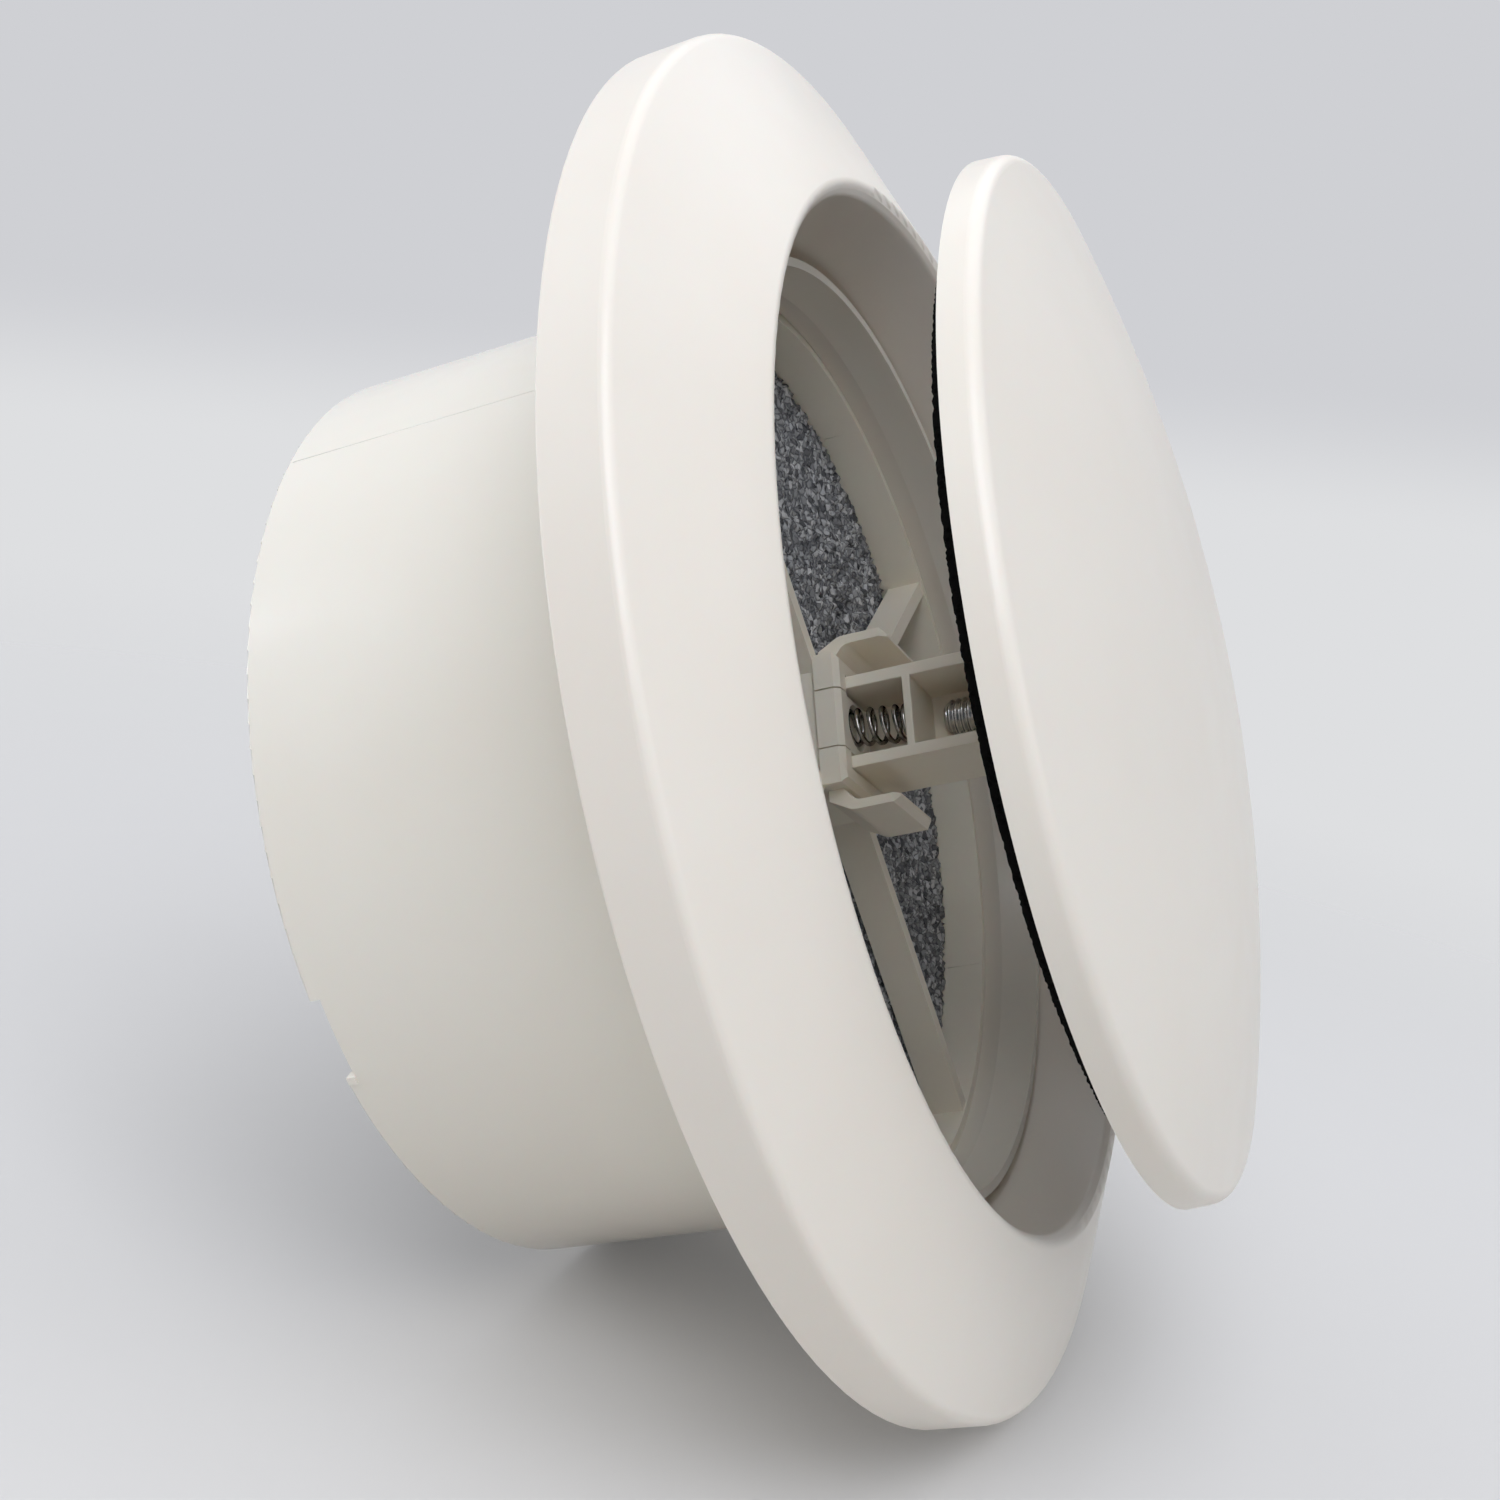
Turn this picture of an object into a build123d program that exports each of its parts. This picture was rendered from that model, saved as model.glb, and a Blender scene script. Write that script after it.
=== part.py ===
"""Round air outlet vent: flange and duct collar, spider with foam filter, sprung stem and screw-set disc.

Units are millimetres. The vent's axis lies along Y: the disc faces -Y, the duct runs to +Y, +Z is up.
The origin is on the axis, in the plane of the flange's wall face. Outlines are pairs (radius, height),
where height is measured from the wall plane towards the front of the vent.
"""

import os

from build123d import *

# Duct collar
spigot_r = 50.0
spigot_len = 43.5
spigot_edge = 0.4
collar_wall = 1.2
collar_bore_r = spigot_r - collar_wall
collar_head_step = 0.6
collar_head_r = spigot_r + collar_head_step
collar_head_h = 4.25
collar_mouth_flare = 0.8
collar_mouth_r = collar_bore_r + collar_mouth_flare
ledge_len = 1.6
ledge_r = collar_bore_r - ledge_len
ledge_h = -17.2
notch_angle = 201.0
notch_width = 9.4
notch_depth = 1.3
pip_width = 0.8

# Flange
funnel_step = 0.9
funnel_root_r = collar_head_r + funnel_step
funnel_root_h = 2.2
funnel_flare = 2.8
throat_r = funnel_root_r + funnel_flare
lip_round = 1.0
lip_r = throat_r + lip_round
lip_h = 13.5
face_width = 16.7
flange_r = lip_r + face_width
flange_wall = 1.8
rim_h = 6.5
rim_round = 1.1

# Clearances
seat_gap = 0.06
guide_gap = 0.15
soft_gap = 0.2
spring_gap = 0.05
spin_gap = 0.05

# Spider
insert_roll = 22.0
ring_front_h = -2.2
ring_wall = 1.0
arm_count = 4
arm_angle = 47.0
arm_wall = 1.8
arm_front_h = -2.4
arm_back_h = -6.6
hub_x = 7.6
hub_z = 7.3
hub_front_h = 0.4
hub_bevel = 0.6
hub_step = 0.9
tongue_z = 3.2
tongue_slit = 0.15
tongue_root_h = arm_front_h
tongue_back_h = -2.4
tongue_set_back = 0.2
tongue_front_h = hub_front_h - tongue_set_back
tongue_tip_x = 1.2
seat_depth = 1.0
tab_wall = 1.0
tab_x = 5.5
tab_z = 9.8
tab_tip_h = 5.3
tab_bevel = 0.7

# Stem and nut
stem_x = 5.2
stem_z = 5.15
stem_wall = 1.35
stem_front_h = 19.4
stem_back_h = -4.2
web_x = 2.3
web_wall = 1.3
bulkhead_h = 6.5
bulkhead_wall = 0.9
front_wall = 1.4
nut_flats = 7.0
nut_thick = 3.2
nut_room = 0.4
web_end_h = stem_front_h - front_wall - nut_thick - nut_room
back_stop_gap = 0.1

# Spring
spring_x = -2.2
spring_z = 0.3
wire_r = 0.35
coil_r = 1.85
coil_turns = 4.6

# Screw, M4
thread_r = 2.0
thread_root_r = 1.6
thread_pitch = 0.7
screw_tip_h = 9.6
screw_head_r = 3.5
screw_head_h = 2.4

# Disc
disc_margin = 0.9
disc_r = throat_r - disc_margin
disc_draft = 0.3
disc_reach = 7.5
disc_back_h = stem_front_h + disc_reach
disc_side = 3.3
disc_side_h = disc_back_h + disc_side
disc_rise = 7.6
disc_top_h = disc_side_h + disc_rise
disc_round = 1.5
disc_flat_r = 1.0
disc_wall = 1.6
disc_inner_round = 0.3
plate_r = disc_r - disc_wall - disc_draft - seat_gap
plate_inset = 0.1
plate_wall = 1.1
boss_r = 6.0
boss_gap = 1.8
boss_h = stem_front_h + boss_gap
seal_width = 8.4
seal_inset = 4.2
seal_r = disc_r - seal_inset
seal_stand = 2.0
seal_back_h = disc_back_h - seal_stand


def turned(outline, rounds=()):
    """Solid of revolution about the vent's axis from an outline of (radius, height) points.

    Each entry of rounds is (radius, height, fillet radius) for one corner of the outline.
    """
    corners = [(radius, -height) for radius, height in outline]
    face = make_face(Polyline(*corners, close=True))
    for radius, height, size in rounds:
        corner = face.vertices().sort_by_distance((radius, -height, 0))[0]
        face = fillet(corner, size)
    return revolve(face, axis=Axis.Y)


def block(x0, x1, h0, h1, z0, z1):
    """Box between two depths across the stem, two heights along the axis and two levels."""
    middle = ((x0 + x1) / 2, -(h0 + h1) / 2, (z0 + z1) / 2)
    return Pos(*middle) * Box(abs(x1 - x0), abs(h1 - h0), abs(z1 - z0))


def rod(radius, h0, h1, x=0.0, z=0.0):
    """Round bar parallel to the vent's axis between two heights."""
    return Pos(x, -(h0 + h1) / 2, z) * Rot(90, 0, 0) * Cylinder(radius, abs(h1 - h0))


def domed(radius, side_h, top_h, back_h, round_size):
    """Solid with a drafted side, a rounded shoulder and a shallow domed front with a small flat."""
    shoulder_r = radius - disc_draft
    rise = top_h - side_h
    centre_drop = (shoulder_r**2 - disc_flat_r**2 - rise**2) / (2 * rise)
    sphere_r = (disc_flat_r**2 + (rise + centre_drop) ** 2) ** 0.5
    with BuildSketch() as sketch:
        with BuildLine():
            Line((0, -back_h), (radius, -back_h))
            Line((radius, -back_h), (shoulder_r, -side_h))
            RadiusArc((shoulder_r, -side_h), (disc_flat_r, -top_h), sphere_r)
            Line((disc_flat_r, -top_h), (0, -top_h))
            Line((0, -top_h), (0, -back_h))
        make_face()
        fillet(sketch.vertices().sort_by_distance((shoulder_r, -side_h, 0))[0], round_size)
    return revolve(sketch.sketch, axis=Axis.Y)


def make_flange():
    """Front cover: outer rim, conical face, rounded lip and funnel, hollow behind."""
    socket_r = collar_head_r + seat_gap
    inner_rim_r = flange_r - flange_wall
    outline = [
        (socket_r, 0.0),
        (socket_r, funnel_root_h),
        (funnel_root_r, funnel_root_h),
        (throat_r, lip_h - lip_round),
        (lip_r, lip_h),
        (flange_r - rim_round / 2, rim_h),
        (flange_r, rim_h - rim_round / 2),
        (flange_r, 0.0),
        (inner_rim_r, 0.0),
        (inner_rim_r, rim_h - 2 * flange_wall),
        (lip_r + flange_wall, lip_h - 1.6 * flange_wall),
        (throat_r + flange_wall, lip_h - 2 * flange_wall),
        (funnel_root_r + flange_wall, funnel_root_h),
        (funnel_root_r + flange_wall, 0.0),
    ]
    rounds = [
        (throat_r, lip_h - lip_round, lip_round),
        (lip_r, lip_h, lip_round),
        (flange_r - rim_round / 2, rim_h, rim_round),
        (flange_r, rim_h - rim_round / 2, rim_round),
        (flange_r, 0.0, 0.3),
    ]
    return turned(outline, rounds)


def make_collar():
    """Duct collar: plain spigot with an inner ledge, a wider head and a notch in its rear edge."""
    rear_h = -spigot_len
    outline = [
        (collar_bore_r, rear_h),
        (spigot_r, rear_h),
        (spigot_r, 0.0),
        (collar_head_r, 0.0),
        (collar_head_r, collar_head_h),
        (collar_mouth_r, collar_head_h),
        (collar_bore_r, 0.0),
        (collar_bore_r, ledge_h),
        (ledge_r, ledge_h),
        (ledge_r, ledge_h - ledge_len),
        (collar_bore_r, ledge_h - 2 * ledge_len),
    ]
    collar = turned(outline, [(spigot_r, rear_h, spigot_edge)])
    half = notch_width / 2
    notch_h = rear_h + notch_depth
    cut = block(collar_bore_r - collar_wall, spigot_r + collar_wall, rear_h - 1, notch_h, -half, half)
    pip = block(collar_bore_r, spigot_r, rear_h + notch_depth / 4, notch_h, half - pip_width, half)
    turn = Rot(0, -notch_angle, 0)
    return collar - turn * cut + turn * pip


def make_tab(side):
    """Finger tab beside the stem: a plate that leaves the hub in an S and runs along the axis."""
    low = tab_z - tab_wall
    outline = [
        (-2.4, hub_z - 0.2),
        (-0.9, hub_z - 0.2),
        (0.5, low),
        (tab_tip_h, low),
        (tab_tip_h, tab_z),
        (0.0, tab_z),
        (-2.4, hub_z + 1.2),
    ]
    face = make_face(Polyline(*[(-h, z) for h, z in outline], close=True))
    for height, level, size in ((0.5, low, 1.4), (0.0, tab_z, 1.8)):
        face = fillet(face.vertices().sort_by_distance((-height, level, 0))[0], size)
    face = chamfer(face.vertices().sort_by_distance((-tab_tip_h, tab_z, 0))[0], tab_bevel)
    plate = extrude(Plane.YZ * face, amount=tab_x, both=True)
    tip_edges = plate.edges().filter_by(Axis.Z).group_by(Axis.Y)[0]
    plate = chamfer(tip_edges, tab_bevel)
    return plate if side > 0 else Rot(0, 180, 0) * plate


def make_spider():
    """Ring with four arms, the hub that guides the stem, its sprung tongue and two finger tabs."""
    ring_r = collar_bore_r - seat_gap
    ring = turned([
        (ring_r - ring_wall, ledge_h),
        (ring_r, ledge_h),
        (ring_r, ring_front_h),
        (ring_r - ring_wall, ring_front_h),
    ])
    hub = block(-hub_x, hub_x, arm_front_h, hub_front_h, -hub_z, hub_z)
    hub = chamfer(hub.faces().sort_by(Axis.Y)[0].edges(), hub_bevel)
    hub += block(hub_step - hub_x, hub_x - hub_step, arm_back_h, arm_front_h, -hub_z, hub_z)
    reach = ring_r - ring_wall / 2
    arm = block(hub_x - 1, reach, arm_back_h, arm_front_h, -arm_wall / 2, arm_wall / 2)
    spider = ring + hub
    for index in range(arm_count):
        spider += Rot(0, arm_angle + index * 360 / arm_count, 0) * arm
    spider += make_tab(1) + make_tab(-1)
    guide_x = stem_x + guide_gap
    guide_z = stem_z + guide_gap
    spider -= block(-guide_x, guide_x, arm_back_h - 1, hub_front_h + 1, -guide_z, guide_z)
    for side in (-1, 1):
        near = side * tongue_z
        far = near + side * tongue_slit
        spider -= block(-hub_x - 1, -guide_x + 1, tongue_root_h, hub_front_h + 1, near, far)
    tongue = block(-guide_x - 0.5, tongue_tip_x, tongue_back_h, tongue_front_h, -tongue_z, tongue_z)
    seat_h = tongue_front_h - seat_depth
    seat = rod(coil_r + 2 * wire_r, seat_h, hub_front_h + 1, spring_x, spring_z)
    return spider + tongue - seat


def make_filter():
    """Foam disc that lies in the spider's ring between the arms and the collar's ledge."""
    radius = collar_bore_r - seat_gap - ring_wall - soft_gap
    return rod(radius, ledge_h + soft_gap, arm_back_h - soft_gap)


def make_stem():
    """Moulded frame: two rails on a web, with a back stop, a spring bulkhead and a front wall."""
    inner_z = stem_z - stem_wall
    stem = block(-stem_x, stem_x, stem_back_h, stem_front_h, inner_z, stem_z)
    stem += block(-stem_x, stem_x, stem_back_h, stem_front_h, -stem_z, -inner_z)
    stem += block(web_x, web_x + web_wall, stem_back_h, web_end_h, -inner_z, inner_z)
    stem += block(-stem_x, web_x, bulkhead_h, bulkhead_h + bulkhead_wall, -inner_z, inner_z)
    stem += block(-stem_x, web_x, stem_back_h, tongue_back_h - back_stop_gap, -inner_z, inner_z)
    stem += block(-stem_x, stem_x, stem_front_h - front_wall, stem_front_h, -inner_z, inner_z)
    pad_z = nut_flats / 2 + spin_gap
    for side in (-1, 1):
        stem += block(-stem_x, stem_x, web_end_h, stem_front_h, side * pad_z, side * inner_z)
    return stem - rod(thread_r + 2 * spin_gap, web_end_h, stem_front_h + 1)


def make_spring():
    """Compression spring between the tongue's seat and the stem's bulkhead."""
    seat_h = tongue_front_h - seat_depth
    length = bulkhead_h - seat_h - 2 * spring_gap - 2 * wire_r
    path = Helix(length / coil_turns, length, coil_r)
    wire = sweep(Plane(path @ 0, z_dir=path % 0) * Circle(wire_r), path=path, is_frenet=True)
    start_h = seat_h + spring_gap + wire_r
    return Pos(spring_x, -start_h, spring_z) * Rot(90, 0, 0) * wire


def make_screw():
    """Machine screw whose head is held in the disc's back plate; its thread runs in the nut."""
    neck_h = boss_h + 0.3
    head_h = disc_back_h + plate_inset
    outline = [(0, screw_tip_h), (thread_root_r, screw_tip_h)]
    height = screw_tip_h + thread_pitch / 2
    while height < neck_h - thread_pitch:
        outline += [(thread_r, height), (thread_root_r, height + thread_pitch / 2)]
        height += thread_pitch
    outline += [
        (thread_root_r, neck_h),
        (thread_r, neck_h),
        (thread_r, head_h - screw_head_h),
        (screw_head_r, head_h - screw_head_h),
        (screw_head_r, head_h),
        (0, head_h),
    ]
    return turned(outline)


def make_nut():
    """Hexagon nut held between the stem's rails against the front wall."""
    front_h = stem_front_h - front_wall - spin_gap
    hexagon = RegularPolygon(nut_flats / 2, 6, major_radius=False)
    nut = Pos(0, -front_h, 0) * Rot(-90, 0, 0) * extrude(hexagon, amount=nut_thick)
    return nut - rod(thread_r + spin_gap, front_h - nut_thick - 1, front_h + 1)


def make_disc_front():
    """Domed front shell of the disc."""
    outer = domed(disc_r, disc_side_h, disc_top_h, disc_back_h, disc_round)
    inner_side_h = disc_side_h - disc_wall
    inner_top_h = disc_top_h - disc_wall
    inner = domed(disc_r - disc_wall, inner_side_h, inner_top_h, disc_back_h - 1, disc_inner_round)
    return outer - inner


def make_disc_back():
    """Back plate inside the shell, with the boss that holds the screw's head."""
    back_h = disc_back_h + plate_inset
    plate = rod(plate_r, back_h, back_h + plate_wall)
    plate += rod(boss_r, boss_h, back_h + plate_wall)
    plate -= rod(thread_r + spin_gap, boss_h - 1, back_h)
    head_base = back_h - screw_head_h - spin_gap
    return plate - rod(screw_head_r + spin_gap, head_base, back_h + plate_wall + 1)


def make_seal():
    """Foam rubber ring on the disc's back plate."""
    front_h = disc_back_h + plate_inset - spring_gap
    hole_r = seal_r - seal_width
    return turned([(hole_r, seal_back_h), (seal_r, seal_back_h), (seal_r, front_h), (hole_r, front_h)])


os.makedirs("parts", exist_ok=True)
roll = Rot(0, insert_roll, 0)
nodes = {
    "flange": make_flange(),
    "collar": make_collar(),
    "spider": roll * make_spider(),
    "foam_filter": make_filter(),
    "stem": roll * make_stem(),
    "spring": roll * make_spring(),
    "nut": roll * make_nut(),
    "screw": make_screw(),
    "disc_front": make_disc_front(),
    "disc_back": make_disc_back(),
    "seal_ring": make_seal(),
}
for name, shape in nodes.items():
    export_step(shape, f"parts/{name}.step")
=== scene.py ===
"""Looks of the round air outlet vent: finishes, fine pieces, studio and camera.

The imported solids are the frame. The flange, collar, disc, spider, stem and nut keep their solids and
get finishes, and the last three get softened edges. The spring, the screw, the foam filter and the seal
ring are remodelled here, because their coils, thread, cells and cut edge are finer than the solids.
Lengths are in metres.
"""

import logging
import math
from dataclasses import dataclass
from enum import Enum

import bmesh
import bpy
from mathutils import Matrix, Vector, noise


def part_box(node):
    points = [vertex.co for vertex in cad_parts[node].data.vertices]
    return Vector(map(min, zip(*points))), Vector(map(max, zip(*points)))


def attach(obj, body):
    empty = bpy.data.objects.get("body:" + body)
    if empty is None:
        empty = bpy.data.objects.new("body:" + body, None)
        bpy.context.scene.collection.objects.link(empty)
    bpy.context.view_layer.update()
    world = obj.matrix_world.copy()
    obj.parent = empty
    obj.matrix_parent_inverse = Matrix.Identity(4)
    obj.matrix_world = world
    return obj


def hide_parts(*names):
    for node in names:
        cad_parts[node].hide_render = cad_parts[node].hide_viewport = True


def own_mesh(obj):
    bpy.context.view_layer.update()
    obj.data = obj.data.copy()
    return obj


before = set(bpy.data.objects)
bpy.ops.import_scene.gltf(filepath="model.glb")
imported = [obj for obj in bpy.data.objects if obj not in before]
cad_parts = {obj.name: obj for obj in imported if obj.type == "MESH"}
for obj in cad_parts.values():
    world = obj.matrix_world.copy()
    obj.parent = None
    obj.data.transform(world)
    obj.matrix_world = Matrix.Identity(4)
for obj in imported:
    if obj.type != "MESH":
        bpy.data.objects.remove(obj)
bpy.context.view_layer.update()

LOG = logging.getLogger("vent")
MM = 0.001
NOISE_SEED = 3
WELD_GAP = 0.002 * MM
EDGE_STEPS = 2
EDGE_ANGLE = math.radians(40)

Colour = tuple[float, float, float]
Place = tuple[float, float, float]
Range = tuple[float, float]
Sockets = dict[str, bpy.types.NodeSocket]
Ring = list[bmesh.types.BMVert]


class Body(str, Enum):
    """Moving groups of the vent."""

    BASE = "base"
    STEM = "stem"
    SCREW = "screw"
    DISC = "disc"


class Slot(str, Enum):
    """Material slots of the record."""

    IVORY = "ivory_plastic"
    NATURAL = "natural_plastic"
    FILTER = "filter_foam"
    SPRING = "spring_steel"
    ZINC = "zinc_steel"
    SEAL = "seal_foam"


class Socket(str, Enum):
    """Kinds of sockets on the shared node groups."""

    COLOUR = "NodeSocketColor"
    VALUE = "NodeSocketFloat"


def linear(red: int, green: int, blue: int) -> Colour:
    """Turns an sRGB colour of 0 to 255 into linear values.

    Args:
        red: Red level.
        green: Green level.
        blue: Blue level.

    Returns:
        The three linear values.
    """

    def one(level: int) -> float:
        """Linear value of one level."""
        share = level / 255
        return share / 12.92 if share <= 0.04045 else ((share + 0.055) / 1.055) ** 2.4

    return (one(red), one(green), one(blue))


class Nodes:
    """Small helper that fills one shader node tree."""

    def __init__(self, tree: bpy.types.NodeTree) -> None:
        """Keeps the tree to be filled."""
        self.tree = tree

    def add(self, kind: str, **settings: object) -> bpy.types.Node:
        """Adds one node.

        Args:
            kind: Node type name.
            **settings: Node properties and input values, named with underscores for spaces.

        Returns:
            The new node.
        """
        node = self.tree.nodes.new(kind)
        for key, value in settings.items():
            socket = node.inputs.get(key.replace("_", " "))
            if socket is not None and not hasattr(type(node), key):
                socket.default_value = value
            else:
                setattr(node, key, value)
        return node

    def link(self, source: bpy.types.NodeSocket, target: bpy.types.NodeSocket) -> None:
        """Joins two sockets."""
        self.tree.links.new(source, target)

    def place(self, *textures: bpy.types.Node) -> bpy.types.NodeSocket:
        """Lays textures out over the piece in its own coordinates.

        Args:
            *textures: Texture nodes to be laid out.

        Returns:
            The coordinate socket.
        """
        source = self.add("ShaderNodeTexCoord").outputs["Object"]
        for node in textures:
            self.link(source, node.inputs["Vector"])
        return source

    def math(self, operation: str, first: object, second: object = 0.0) -> bpy.types.NodeSocket:
        """Adds a math node.

        Args:
            operation: Math operation name.
            first: Socket or number.
            second: Socket or number.

        Returns:
            The result socket.
        """
        node = self.add("ShaderNodeMath", operation=operation)
        for index, value in enumerate((first, second)):
            if isinstance(value, bpy.types.NodeSocket):
                self.link(value, node.inputs[index])
            else:
                node.inputs[index].default_value = value
        return node.outputs[0]

    def span(
        self, value: bpy.types.NodeSocket, source: Range, target: Range = (0.0, 1.0)
    ) -> bpy.types.NodeSocket:
        """Maps a range of values smoothly onto another range.

        Args:
            value: Socket to be mapped.
            source: Start and end of the range.
            target: Results at the start and at the end.

        Returns:
            The result socket.
        """
        node = self.add("ShaderNodeMapRange", interpolation_type="SMOOTHSTEP")
        self.link(value, node.inputs["Value"])
        for name, number in zip(("From Min", "From Max", "To Min", "To Max"), source + target):
            node.inputs[name].default_value = number
        return node.outputs["Result"]

    def mix(self, share: object, first: object, second: object) -> bpy.types.NodeSocket:
        """Mixes two colours.

        Args:
            share: Socket or number, 0 for the first colour and 1 for the second.
            first: Colour socket or linear colour.
            second: Colour socket or linear colour.

        Returns:
            The mixed colour socket.
        """
        node = self.add("ShaderNodeMix", data_type="RGBA")
        for index, value in ((0, share), (6, first), (7, second)):
            if isinstance(value, bpy.types.NodeSocket):
                self.link(value, node.inputs[index])
            elif index == 0:
                node.inputs[index].default_value = value
            else:
                node.inputs[index].default_value = (*value, 1.0)
        return node.outputs[2]


def new_group(
    name: str, inputs: dict[str, tuple[Socket, object]], outputs: dict[str, Socket]
) -> tuple[Nodes, Sockets, Sockets]:
    """Starts a shader node group with named sockets.

    Args:
        name: Group name.
        inputs: Socket name to socket kind and default value.
        outputs: Socket name to socket kind.

    Returns:
        The node helper, the group's input sockets and its output sockets, both by name.
    """
    tree = bpy.data.node_groups.new(name, "ShaderNodeTree")
    for label, (kind, value) in inputs.items():
        socket = tree.interface.new_socket(label, in_out="INPUT", socket_type=kind.value)
        socket.default_value = value
    for label, kind in outputs.items():
        tree.interface.new_socket(label, in_out="OUTPUT", socket_type=kind.value)
    nodes = Nodes(tree)
    entry = nodes.add("NodeGroupInput")
    leave = nodes.add("NodeGroupOutput")
    return nodes, {s.name: s for s in entry.outputs}, {s.name: s for s in leave.inputs}


@dataclass
class Effects:
    """Surface effects that several finishes share, each one a node group."""

    cloud_scale: float = 38.0
    cloud_span: Range = (0.35, 0.7)
    cloud_share: float = 0.6
    ripple_scale: float = 190.0
    ripple_span: Range = (0.3, 0.7)
    ripple_gloss: Range = (-0.02, 0.03)
    speck_scatter: float = 0.9
    tarnish_scale: float = 900.0
    tarnish_span: Range = (0.35, 0.65)
    scratch_scale: float = 4000.0
    scratch_span: Range = (0.3, 0.7)
    scratch_gloss: Range = (0.0, 0.06)

    def __post_init__(self) -> None:
        """Builds the groups."""
        self.moulding = self._moulding()
        self.specks = self._specks()
        self.drawing = self._drawing()

    def _moulding(self) -> bpy.types.NodeTree:
        """Builds the look of moulded plastic: cloudy tone, uneven gloss and a fine skin.

        Returns:
            The node group.
        """
        nodes, take, give = new_group(
            "moulded_skin",
            {
                "Colour": (Socket.COLOUR, (0.8, 0.8, 0.8, 1.0)),
                "Shade": (Socket.COLOUR, (0.7, 0.7, 0.7, 1.0)),
                "Roughness": (Socket.VALUE, 0.35),
                "Grain size": (Socket.VALUE, 2500.0),
            },
            {"Colour": Socket.COLOUR, "Roughness": Socket.VALUE, "Height": Socket.VALUE},
        )
        cloud = nodes.add("ShaderNodeTexNoise", Scale=self.cloud_scale, Detail=3.0)
        grain = nodes.add("ShaderNodeTexNoise", Detail=2.0)
        ripple = nodes.add("ShaderNodeTexNoise", Scale=self.ripple_scale, Detail=1.0)
        nodes.place(cloud, grain, ripple)
        nodes.link(take["Grain size"], grain.inputs["Scale"])
        tone = nodes.span(cloud.outputs["Fac"], self.cloud_span)
        share = nodes.math("MULTIPLY", tone, self.cloud_share)
        nodes.link(nodes.mix(share, take["Colour"], take["Shade"]), give["Colour"])
        uneven = nodes.span(ripple.outputs["Fac"], self.ripple_span, self.ripple_gloss)
        nodes.link(nodes.math("ADD", take["Roughness"], uneven), give["Roughness"])
        nodes.link(grain.outputs["Fac"], give["Height"])
        return nodes.tree

    def _specks(self) -> bpy.types.NodeTree:
        """Builds sparse dust specks: a few small dots, each in its own cell.

        Returns:
            The node group.
        """
        nodes, take, give = new_group(
            "dust_specks",
            {
                "Cells": (Socket.VALUE, 60.0),
                "Share": (Socket.VALUE, 0.05),
                "Radius": (Socket.VALUE, 0.03),
            },
            {"Mask": Socket.VALUE},
        )
        cells = nodes.add("ShaderNodeTexVoronoi", feature="F1", Randomness=self.speck_scatter)
        nodes.place(cells)
        nodes.link(take["Cells"], cells.inputs["Scale"])
        near = nodes.math("LESS_THAN", cells.outputs["Distance"], take["Radius"])
        pick = nodes.add("ShaderNodeSeparateColor")
        nodes.link(cells.outputs["Color"], pick.inputs["Color"])
        chosen = nodes.math("LESS_THAN", pick.outputs["Red"], take["Share"])
        nodes.link(nodes.math("MULTIPLY", near, chosen), give["Mask"])
        return nodes.tree

    def _drawing(self) -> bpy.types.NodeTree:
        """Builds the look of drawn and plated steel: cloudy tone and fine scratches.

        Returns:
            The node group.
        """
        nodes, take, give = new_group(
            "drawn_steel",
            {
                "Colour": (Socket.COLOUR, (0.5, 0.5, 0.5, 1.0)),
                "Shade": (Socket.COLOUR, (0.3, 0.3, 0.3, 1.0)),
                "Roughness": (Socket.VALUE, 0.2),
            },
            {"Colour": Socket.COLOUR, "Roughness": Socket.VALUE, "Height": Socket.VALUE},
        )
        tarnish = nodes.add("ShaderNodeTexNoise", Scale=self.tarnish_scale, Detail=4.0)
        scratch = nodes.add("ShaderNodeTexNoise", Scale=self.scratch_scale, Detail=2.0)
        nodes.place(tarnish, scratch)
        tone = nodes.span(tarnish.outputs["Fac"], self.tarnish_span)
        nodes.link(nodes.mix(tone, take["Colour"], take["Shade"]), give["Colour"])
        uneven = nodes.span(scratch.outputs["Fac"], self.scratch_span, self.scratch_gloss)
        nodes.link(nodes.math("ADD", take["Roughness"], uneven), give["Roughness"])
        nodes.link(scratch.outputs["Fac"], give["Height"])
        return nodes.tree


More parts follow.
